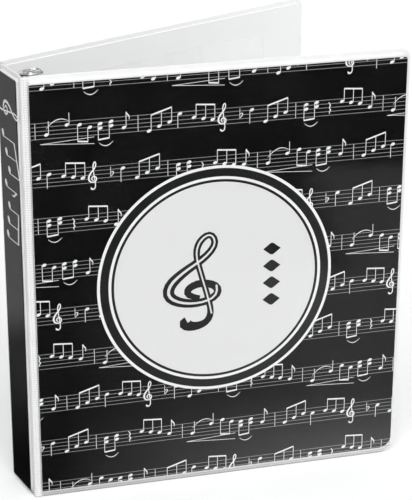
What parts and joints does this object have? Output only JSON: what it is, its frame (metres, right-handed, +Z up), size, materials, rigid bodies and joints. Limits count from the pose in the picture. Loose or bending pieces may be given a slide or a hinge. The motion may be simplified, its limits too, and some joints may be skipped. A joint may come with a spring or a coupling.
{
  "type": "three-ring binder",
  "caption": "View binder with two hinged vinyl-covered board covers, clear outside pockets and a riveted ring mechanism opened by trigger levers.",
  "frame": {"origin": "centre of the bounding box on the surface that the binder stands on", "axes": "+Z up along the spine, +X from the spine towards the covers' free edges, +Y from the front cover to the back cover"},
  "size_m": [0.251, 0.1442, 0.292],
  "materials": {
    "white_vinyl": "white vinyl sheet with a fine leather-like grain, soft gloss",
    "white_lining": "white vinyl lining with a fine matt grain",
    "clear_film": "clear polypropylene film with a soft, slightly wavy gloss",
    "frosted_film": "hazy film welded at its edges",
    "printed_paper": "black printed paper with white and grey line figures",
    "greyboard": "pressed grey board, hidden inside the vinyl",
    "nickel_plate": "bright nickel-plated steel",
    "ring_wire": "bright nickel-plated wire",
    "plain_steel": "drawn steel"
  },
  "bodies": {
    "spine": {"spine_board": "greyboard", "spine_outer_vinyl": "white_vinyl", "spine_lining": "white_lining", "spine_clear_pocket": "clear_film", "spine_insert": "printed_paper", "ring_housing": "nickel_plate", "lever_pin_top": "plain_steel", "lever_pin_bottom": "plain_steel", "rivet_lower": "plain_steel", "rivet_upper": "plain_steel"},
    "front_cover": {"front_board": "greyboard", "front_outer_vinyl": "white_vinyl", "front_lining": "white_lining", "front_clear_pocket": "clear_film", "front_inner_pocket": "frosted_film", "front_insert": "printed_paper"},
    "back_cover": {"back_board": "greyboard", "back_outer_vinyl": "white_vinyl", "back_lining": "white_lining", "back_clear_pocket": "clear_film", "back_inner_pocket": "frosted_film"},
    "ring_side_front": {"hinge_plate_front": "plain_steel", "ring_bottom_front": "ring_wire", "ring_middle_front": "ring_wire", "ring_top_front": "ring_wire"},
    "ring_side_back": {"hinge_plate_back": "plain_steel", "ring_bottom_back": "ring_wire", "ring_middle_back": "ring_wire", "ring_top_back": "ring_wire"},
    "lever_top": {"lever_top": "nickel_plate"},
    "lever_bottom": {"lever_bottom": "nickel_plate"}
  },
  "joints": [
    {"name": "front_cover_hinge", "type": "hinge", "parent": "spine", "child": "front_cover", "pos_m": [-0.12243, -0.01255, 0.146], "axis": [0, 0, -1], "range_deg": [-13.1, 165]},
    {"name": "back_cover_hinge", "type": "hinge", "parent": "spine", "child": "back_cover", "pos_m": [-0.12243, 0.02395, 0.146], "axis": [0, 0, 1], "range_deg": [-10.4, 167]},
    {"name": "ring_snap_back", "type": "hinge", "parent": "spine", "child": "ring_side_back", "pos_m": [-0.11853, 0.0144, 0.146], "axis": [0, 0, 1], "range_deg": [0, 12]},
    {"name": "ring_snap_front", "type": "hinge", "parent": "spine", "child": "ring_side_front", "pos_m": [-0.11853, -0.003, 0.146], "axis": [0, 0, -1], "range_deg": [0, 12]},
    {"name": "lever_top_pivot", "type": "hinge", "parent": "spine", "child": "lever_top", "pos_m": [-0.11803, 0.0057, 0.2836], "axis": [0, -1, 0], "range_deg": [0, 22]},
    {"name": "lever_bottom_pivot", "type": "hinge", "parent": "spine", "child": "lever_bottom", "pos_m": [-0.11803, 0.0057, 0.0084], "axis": [0, 1, 0], "range_deg": [0, 22]}
  ],
  "couplings": [
    {"joint": "ring_snap_front", "follows": "ring_snap_back", "ratio": 1},
    {"joint": "lever_top_pivot", "follows": "ring_snap_back", "ratio": 1.8333},
    {"joint": "lever_bottom_pivot", "follows": "ring_snap_back", "ratio": 1.8333}
  ]
}
